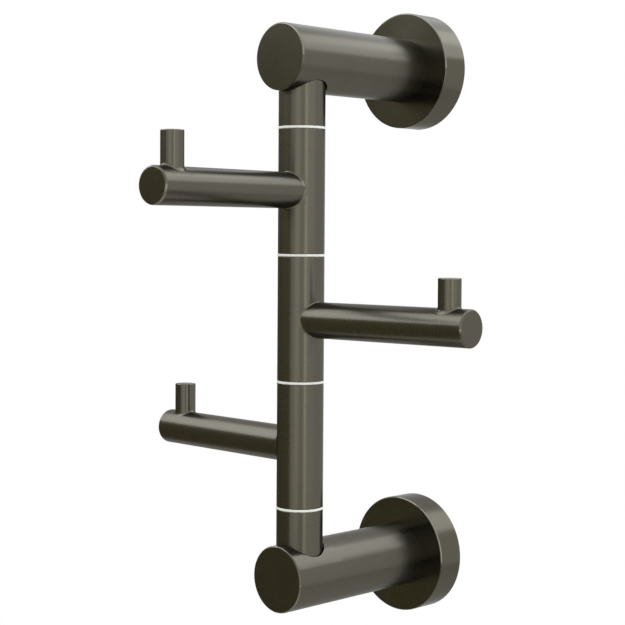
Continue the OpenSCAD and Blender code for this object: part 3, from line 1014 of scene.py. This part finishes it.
stem = raised(
    socket_screw, turned_bar(socket_screw, core, thread_l.outputs[0], given["Edge"]), tip.outputs[0],
)
thread = thread_ridge(socket_screw, given["Thread Radius"], given["Pitch"], given["Turns"])
ridge = raised(socket_screw, thread, tip.outputs[0])
joined(socket_screw, [keyed, knurls, plain, stem, ridge], given["Finish"])

tie_head_l = 6 * mm
tie_head_edge = 0.4 * mm
tie_key = 5 * mm
tie_knurls = 60
tie_knurl_depth = 0.2 * mm
tie_pitch = 1 * mm
tie_turns = 20
tie_thread_r = 3 * mm

for label in sides:
    low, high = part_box(label + "_tie_screw")
    screw = made_of(grown(label + "_long_screw", socket_screw, {
        "Thread Radius": tie_thread_r, "Pitch": tie_pitch, "Turns": float(tie_turns),
        "Plain Length": high.y - low.y - tie_head_l - tie_turns * tie_pitch,
        "Head Radius": (high.x - low.x) / 2, "Head Length": tie_head_l, "Edge": tie_head_edge,
        "Socket Width": tie_key, "Knurls": tie_knurls, "Knurl Depth": tie_knurl_depth,
        "Finish": stainless,
    }))
    middle = (low + high) / 2
    finished(
        label + "_long_screw", screw,
        placing((1, 0, 0), (0, 1, 0), (middle.x, high.y - tie_head_l, middle.z)), stainless,
        fixed_body, [label + "_tie_screw"],
    )


# Lock washers
# The split rings under the tie screws' heads: square spring wire wound once round and cut, so that
# the two ends bite and keep the screw from working loose.
split_ring, given = new_tree("split_ring_wound", {
    "Inner Radius": "Float", "Outer Radius": "Float", "Thickness": "Float", "Gap": "Float",
    "Edge": "Float", "Finish": "Material",
})
both = add_node(split_ring, "ShaderNodeMath", {"operation": "ADD"}, {
    0: given["Inner Radius"], 1: given["Outer Radius"],
})
wire_w = add_node(split_ring, "ShaderNodeMath", {"operation": "SUBTRACT"}, {
    0: given["Outer Radius"], 1: given["Inner Radius"],
})
middle_r = add_node(split_ring, "ShaderNodeMath", {"operation": "MULTIPLY"}, {
    0: both.outputs[0], 1: 0.5,
})
full_turn = add_node(split_ring, "ShaderNodeMath", {"operation": "MULTIPLY"}, {
    0: both.outputs[0], 1: math.pi,
})
gap_share = add_node(split_ring, "ShaderNodeMath", {"operation": "DIVIDE"}, {
    0: given["Gap"], 1: full_turn.outputs[0],
})
wound = add_node(split_ring, "ShaderNodeMath", {"operation": "SUBTRACT"}, {
    0: 1.0, 1: gap_share.outputs[0],
})
coil = add_node(split_ring, "GeometryNodeCurveSpiral", None, {
    "Resolution": screw_columns, "Rotations": wound.outputs[0], "Start Radius": middle_r.outputs[0],
    "End Radius": middle_r.outputs[0], "Height": 0.0, "Reverse": True,
})
wire = add_node(split_ring, "GeometryNodeCurvePrimitiveQuadrilateral", None, {
    "Width": wire_w.outputs[0], "Height": given["Thickness"],
})
eased = add_node(split_ring, "GeometryNodeFilletCurve", {"mode": "POLY"}, {
    "Curve": wire.outputs[0], "Count": edge_steps, "Radius": given["Edge"], "Limit Radius": True,
})
ring = add_node(split_ring, "GeometryNodeCurveToMesh", None, {
    "Curve": coil.outputs[0], "Profile Curve": eased.outputs[0], "Fill Caps": True,
})
joined(split_ring, [ring], given["Finish"])

# Spring steel, hardened, tempered and oiled: dark blue-grey with a soft shine
spring_steel = brushed_metal(
    "spring_steel_oiled", "5A5D63", "71747B", dull=(0.3, 0.42), anisotropy=0.0, line_width=0.3 * mm,
    streak_length=6 * mm,
)

split_gap = 0.8 * mm
wire_edge = 0.15 * mm

for label in sides:
    low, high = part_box(label + "_lock_washer")
    washer = made_of(grown(label + "_split_ring", split_ring, {
        "Inner Radius": tie_hole_r, "Outer Radius": (high.z - low.z) / 2, "Thickness": high.y - low.y,
        "Gap": split_gap, "Edge": wire_edge, "Finish": spring_steel,
    }))
    finished(
        label + "_split_ring", washer, placing((1, 0, 0), outwards, (low + high) / 2), spring_steel,
        fixed_body, [label + "_lock_washer"],
    )


# Rail ends
# The fixed sleeves at the ends of the rail, which go into the posts' bores: the same tube as the
# turning sleeves, drilled for the spindle and counterbored for the screw that ends it.
tube_edge = 0.25 * mm
hub_r = 7.05 * mm
hub_depth = 8.6 * mm
spindle_bore_r = 4.05 * mm
pocket_r = 6 * mm
pocket_depth = 5 * mm
tapped_room = 4.2 * mm
tapped_rows = 8
tapped_columns = 14
tapped_web = 0.5 * mm
thread_gap = 0.05 * mm

for label, side in sides.items():
    low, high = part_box(label + "_end_sleeve")
    length = high.z - low.z
    near_end = low.z if side > 0 else high.z
    screw_low, screw_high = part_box(label + "_tie_screw")
    tapped_at = abs((screw_low.z + screw_high.z) / 2 - near_end)
    rows = rows_round(tapped_at, tapped_room, tapped_rows)
    tapped = {"wall": rail_r, "low": rows[0], "high": rows[-1], "at": tapped_at,
              "hole": tie_thread_r + thread_gap, "half": tapped_columns}
    corners = [(hub_r, 0, 0), (rail_r, 0, tube_edge)] + [(rail_r, h, 0) for h in rows]
    corners += [
        (rail_r, length, tube_edge), (pocket_r, length, 0), (pocket_r, length - pocket_depth, 0),
        (spindle_bore_r, length - pocket_depth, 0), (spindle_bore_r, hub_depth, 0), (hub_r, hub_depth, 0),
    ]
    tube, rims = lathe(rounded(corners), closed=True, windows=[tapped])
    sink_hole(tube, rims[0], tapped, [(tapped["hole"], spindle_bore_r + tapped_web)])
    finished(
        label + "_rail_end", tube, placing((0, 1, 0), (0, 0, side), (rail_axis.x, rail_axis.y, near_end)),
        drawn_graphite, fixed_body, [label + "_end_sleeve"],
    )


# Spindle
# The rod that the rings and sleeves are threaded on: bright stainless bar, turned to length with
# its edges broken, and tapped at both ends for the screws that draw the rail together.
spindle_pitch = 0.8 * mm
tap_r = 2.55 * mm
tap_teeth = 14
spindle_edge = 0.3 * mm
spindle_r = (spindle_high.x - spindle_low.x) / 2
half_l = (spindle_high.z - spindle_low.z) / 2
tap_core_r = tap_r - thread_depth_share * spindle_pitch
tap = [
    (tap_core_r if k % 2 == 0 else tap_r, half_l - k * spindle_pitch / 2, 0) for k in range(2 * tap_teeth)
]
tap.append((0, half_l - tap_teeth * spindle_pitch, 0))
corners = [(radius, -height, 0) for radius, height, _ in reversed(tap)]
corners += [(spindle_r, -half_l, spindle_edge), (spindle_r, half_l, spindle_edge)] + tap
rod, _ = lathe(rounded(corners))
finished(
    "tapped_spindle", rod, placing((1, 0, 0), (0, 0, 1), rail_axis), stainless,
    fixed_body, ["spindle"],
)


# Disc springs
# The dished washers under the spindle's screws: stamped spring steel, which presses sleeves and
# rings together so that a hook stays where it is put.
dish = 0.3 * mm
disc_edge = 0.12 * mm
disc_bore_r = 2.7 * mm

for label, side in sides.items():
    low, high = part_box(label + "_disc_spring")
    disc_r = (high.x - low.x) / 2
    disc_l = high.z - low.z
    disc, _ = lathe(rounded([
        (disc_r, 0, disc_edge), (disc_r, disc_l - dish, disc_edge), (disc_bore_r, disc_l, disc_edge),
        (disc_bore_r, dish, disc_edge),
    ]), closed=True)
    seat_z = low.z if side > 0 else high.z
    finished(
        label + "_dished_washer", disc,
        placing((1, 0, 0), (0, 0, side), (rail_axis.x, rail_axis.y, seat_z)), spring_steel,
        fixed_body, [label + "_disc_spring"],
    )


# Spindle screws
# The low-head socket screws in the spindle's ends: stainless like the tie screws, for a 3 mm key.
# They sit in the rail ends' counterbores, hidden in the posts.
low_head_l = 3.5 * mm
low_head_edge = 0.3 * mm
low_head_key = 3 * mm
low_head_knurls = 48
low_head_knurl_depth = 0.15 * mm
low_head_plain = 0.4 * mm
low_head_thread_r = 2.5 * mm

for label, side in sides.items():
    low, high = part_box(label + "_spindle_screw")
    stem_l = high.z - low.z - low_head_l
    screw = made_of(grown(label + "_low_head_screw", socket_screw, {
        "Thread Radius": low_head_thread_r, "Pitch": spindle_pitch,
        "Turns": (stem_l - low_head_plain) / spindle_pitch, "Plain Length": low_head_plain,
        "Head Radius": (high.x - low.x) / 2, "Head Length": low_head_l, "Edge": low_head_edge,
        "Socket Width": low_head_key, "Knurls": low_head_knurls, "Knurl Depth": low_head_knurl_depth,
        "Finish": stainless,
    }))
    seat_z = high.z - low_head_l if side > 0 else low.z + low_head_l
    finished(
        label + "_low_head_screw", screw,
        placing((1, 0, 0), (0, 0, side), (rail_axis.x, rail_axis.y, seat_z)), stainless,
        fixed_body, [label + "_spindle_screw"],
    )


# Spacer rings
# The four white rings between the sleeves: moulded nylon bushes, each with a thin flange that
# shows as a white line and a hub on either side on which the sleeves turn.

# Natural nylon, injection moulded: white, satin, a touch translucent at its thin rim
mould_grain = 0.8 * mm
mould_depth = 0.02 * mm
light_depth = 0.5 * mm
nylon, tree, shader = new_material("white_nylon_moulded")
spot = add_node(tree, "ShaderNodeTexCoord")
mould = add_node(tree, "ShaderNodeTexNoise", None, {
    "Vector": spot.outputs["Object"], "Scale": 1 / mould_grain, "Detail": 2.0,
})
tone = add_node(tree, "ShaderNodeMix", {"data_type": "RGBA"}, {
    0: mould.outputs[0], 6: hex_colour("E3E5E1"), 7: hex_colour("F1F3EF"),
})
relief = add_node(tree, "ShaderNodeBump", None, {
    "Height": mould.outputs[0], "Strength": 0.2, "Distance": mould_depth,
})
connect(tree, shader, {
    "Base Color": tone.outputs[2], "Roughness": 0.42, "IOR": 1.53, "Normal": relief.outputs[0],
    "Subsurface Weight": 0.1, "Subsurface Radius": (1.0, 1.0, 0.9), "Subsurface Scale": light_depth,
})

bush, given = new_tree("turned_bushes_in_a_row", {
    "Rings": "Int", "Pitch": "Float", "Bore Radius": "Float", "Hub Radius": "Float", "Hub Length": "Float",
    "Flange Radius": "Float", "Flange Thickness": "Float", "Edge": "Float", "Finish": "Material",
})


def turned_tube(tree, outer, inner, length, edge):
    """Nodes for a tube about Z with rounded edges, closed all round."""
    wall = add_node(tree, "ShaderNodeMath", {"operation": "SUBTRACT"}, {0: outer, 1: inner})
    both = add_node(tree, "ShaderNodeMath", {"operation": "ADD"}, {0: outer, 1: inner})
    middle = add_node(tree, "ShaderNodeMath", {"operation": "MULTIPLY"}, {0: both.outputs[0], 1: 0.5})
    section = add_node(tree, "GeometryNodeCurvePrimitiveQuadrilateral", None, {
        "Width": wall.outputs[0], "Height": length,
    })
    eased = add_node(tree, "GeometryNodeFilletCurve", {"mode": "POLY"}, {
        "Curve": section.outputs[0], "Count": edge_steps, "Radius": edge, "Limit Radius": True,
    })
    circle = add_node(tree, "GeometryNodeCurvePrimitiveCircle", None, {
        "Resolution": columns, "Radius": middle.outputs[0],
    })
    return add_node(tree, "GeometryNodeCurveToMesh", None, {
        "Curve": circle.outputs[0], "Profile Curve": eased.outputs[0],
    })


flange = turned_tube(
    bush, given["Flange Radius"], given["Hub Radius"], given["Flange Thickness"], given["Edge"],
)
hub = turned_tube(bush, given["Hub Radius"], given["Bore Radius"], given["Hub Length"], given["Edge"])
both = add_node(bush, "GeometryNodeJoinGeometry")
bush.links.new(flange.outputs[0], both.inputs[0])
bush.links.new(hub.outputs[0], both.inputs[0])
spread = add_node(bush, "ShaderNodeCombineXYZ", None, {"Z": given["Pitch"]})
row = add_node(bush, "GeometryNodeMeshLine", {"mode": "OFFSET"}, {
    "Count": given["Rings"], "Offset": spread.outputs[0],
})
set_out = add_node(bush, "GeometryNodeInstanceOnPoints", None, {
    "Points": row.outputs[0], "Instance": both.outputs[0],
})
real = add_node(bush, "GeometryNodeRealizeInstances", None, {"Geometry": set_out.outputs[0]})
painted = add_node(bush, "GeometryNodeSetMaterial", None, {
    "Geometry": real.outputs[0], "Material": given["Finish"],
})
smooth = add_node(bush, "GeometryNodeSetShadeSmooth", None, {"Geometry": painted.outputs[0]})
add_node(bush, "NodeGroupOutput", None, {0: smooth.outputs[0]})

ring_hub_r = 7 * mm
ring_flange_t = 1 * mm
ring_edge = 0.15 * mm
spacers = ("bottom_spacer", "lower_spacer", "upper_spacer", "top_spacer")
low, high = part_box(spacers[0])
next_low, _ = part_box(spacers[1])
rings = grown("white_spacer_rings", bush, {
    "Rings": len(spacers), "Pitch": next_low.z - low.z, "Bore Radius": spindle_bore_r,
    "Hub Radius": ring_hub_r, "Hub Length": high.z - low.z, "Flange Radius": (high.x - low.x) / 2,
    "Flange Thickness": ring_flange_t, "Edge": ring_edge, "Finish": nylon,
})
rings.transform(Matrix.Translation((low + high) / 2))
settled("white_spacer_rings", rings, fixed_body, spacers)


# Turning sleeves
# The three lengths of tube that turn about the spindle and carry the arms: drawn brass tube, cut,
# bored for the nylon hubs, drilled for the arm's spigot, brushed and coated.
spigot_r = 5 * mm
spigot_hole_room = 6.4 * mm
spigot_hole_rows = 16
spigot_hole_columns = 27
bore_edge = 0.1 * mm
hooks = ("upper", "middle", "lower")


def hook_direction(label):
    """The level direction in which a hook points, and its peg's distance from the rail's axis."""
    low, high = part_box(label + "_peg")
    reach = ((low + high) / 2 - rail_axis).to_2d().to_3d()
    return reach.normalized(), reach.length


for label in hooks:
    low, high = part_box(label + "_hook_sleeve")
    length = high.z - low.z
    direction, _ = hook_direction(label)
    arm_low, arm_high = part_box(label + "_arm")
    arm_rise = (arm_low.z + arm_high.z - low.z - high.z) / 2
    rows = rows_round(arm_rise, spigot_hole_room, spigot_hole_rows)
    through = {"low": rows[0], "high": rows[-1], "at": arm_rise, "hole": spigot_r,
               "half": spigot_hole_columns}
    holes = [{**through, "wall": rail_r}, {**through, "wall": hub_r}]
    corners = [(rail_r, -length / 2, tube_edge)] + [(rail_r, h, 0) for h in rows]
    corners += [(rail_r, length / 2, tube_edge), (hub_r, length / 2, bore_edge)]
    corners += [(hub_r, h, 0) for h in reversed(rows)] + [(hub_r, -length / 2, bore_edge)]
    tube, rims = lathe(rounded(corners), closed=True, windows=holes)
    join_rims(tube, *rims, arm_rise)
    middle = Vector((rail_axis.x, rail_axis.y, (low.z + high.z) / 2))
    finished(
        label + "_turning_sleeve", tube, placing(direction, (0, 0, 1), middle), drawn_graphite,
        label + "_hook", [label + "_hook_sleeve"],
    )


# Arms
# The level bars that carry the towels: turned and brushed, the root cut to the sleeve's curve and
# brazed to it with a hair of a fillet, the tip's edge broken, and a seat bored for the peg.
tip_edge = 0.9 * mm
peg_to_tip = 10.9 * mm
peg_seat = 6 * mm
root_fillet = 0.55 * mm
root_fade = 15 * mm
root_rows = 6
spigot_gap = 0.02 * mm
spigot_end_gap = 0.5 * mm
stub_r = spigot_r - spigot_gap
stub_l = rail_r - hub_r - spigot_end_gap
seat_room = 6.6 * mm
seat_rows = 16
seat_columns = 30
seat_gap = 0.05 * mm
seat_lip = 0.12 * mm

for label in hooks:
    low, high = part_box(label + "_arm")
    arm_r = (high.z - low.z) / 2
    direction, peg_reach = hook_direction(label)
    peg_low, peg_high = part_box(label + "_peg")
    peg_r = (peg_high.x - peg_low.x) / 2
    reach = peg_reach + peg_to_tip
    rows = rows_round(peg_reach, seat_room, seat_rows)
    fillet = []
    for step in range(arc_steps + 1):
        turn = math.pi / 2 * step / arc_steps
        fillet.append(Vector((
            arm_r + root_fillet * (1 - math.sin(turn)), root_fillet * (1 - math.cos(turn)),
        )))
    seat = {"wall": arm_r, "low": rows[0], "high": rows[-1], "at": peg_reach, "hole": peg_r + seat_gap,
            "lip": seat_lip, "half": seat_columns}
    corners = [(arm_r, root_fade * k / root_rows, 0) for k in range(1, root_rows + 1)]
    corners += [(arm_r, h, 0) for h in rows] + [(arm_r, reach, tip_edge), (0, reach, 0)]
    spigot = [Vector((0, -stub_l)), Vector((stub_r, -stub_l)), Vector((stub_r, 0))]
    points = spigot + fillet + rounded([(arm_r, 0, 0)] + corners)[1:]
    bar, rims = lathe(points, windows=[seat])
    sink_hole(bar, rims[0], seat, [(seat["hole"], arm_r - peg_seat)])
    for vertex in bar.verts:
        if vertex.co.z < 0:
            vertex.co.z += rail_r
        elif vertex.co.z < root_fade:
            saddle = math.sqrt(rail_r ** 2 - vertex.co.y ** 2)
            vertex.co.z += saddle * (1 - vertex.co.z / root_fade)
    middle = Vector((rail_axis.x, rail_axis.y, (low.z + high.z) / 2))
    finished(
        label + "_towel_arm", bar, placing((0, 0, 1), direction, middle), drawn_graphite,
        label + "_hook", [label + "_arm"], faced_graphite,
    )


# Pegs
# The short upright pins near the arms' tips, which keep a towel's loop from sliding off: turned
# with a rounded top edge, pressed into the arms and brazed, so a small fillet lies on the arm.
peg_edge = 0.45 * mm
peg_foot_edge = 0.3 * mm
peg_fillet = 1.1 * mm
fillet_sunk = 0.03 * mm
fillet_steps = 2 * arc_steps
seat_plain = 0.6 * mm

for label in hooks:
    low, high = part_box(label + "_peg")
    peg_r = (high.x - low.x) / 2
    length = high.z - low.z
    arm_low, arm_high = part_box(label + "_arm")
    arm_r = (arm_high.z - arm_low.z) / 2
    on_arm = arm_high.z - low.z - fillet_sunk
    points = rounded([(0, 0, 0), (peg_r, 0, peg_foot_edge), (peg_r, seat_plain, 0)])
    for step in range(fillet_steps + 1):
        turn = math.pi / 2 * step / fillet_steps
        points.append(Vector((
            peg_r + peg_fillet * (1 - math.sin(turn)), on_arm + peg_fillet * (1 - math.cos(turn)),
        )))
    points += rounded([(peg_r, on_arm, 0), (peg_r, length, peg_edge), (0, length, 0)])[1:]
    pin, _ = lathe(points)
    for vertex in pin.verts:
        if seat_plain < vertex.co.z < on_arm + peg_fillet + fillet_sunk:
            vertex.co.z += math.sqrt(arm_r ** 2 - vertex.co.y ** 2) - arm_r
    direction, _ = hook_direction(label)
    centre = (low + high) / 2
    finished(
        label + "_towel_peg", pin, placing(direction, (0, 0, 1), (centre.x, centre.y, low.z)),
        drawn_graphite, label + "_hook", [label + "_peg"], faced_graphite,
    )
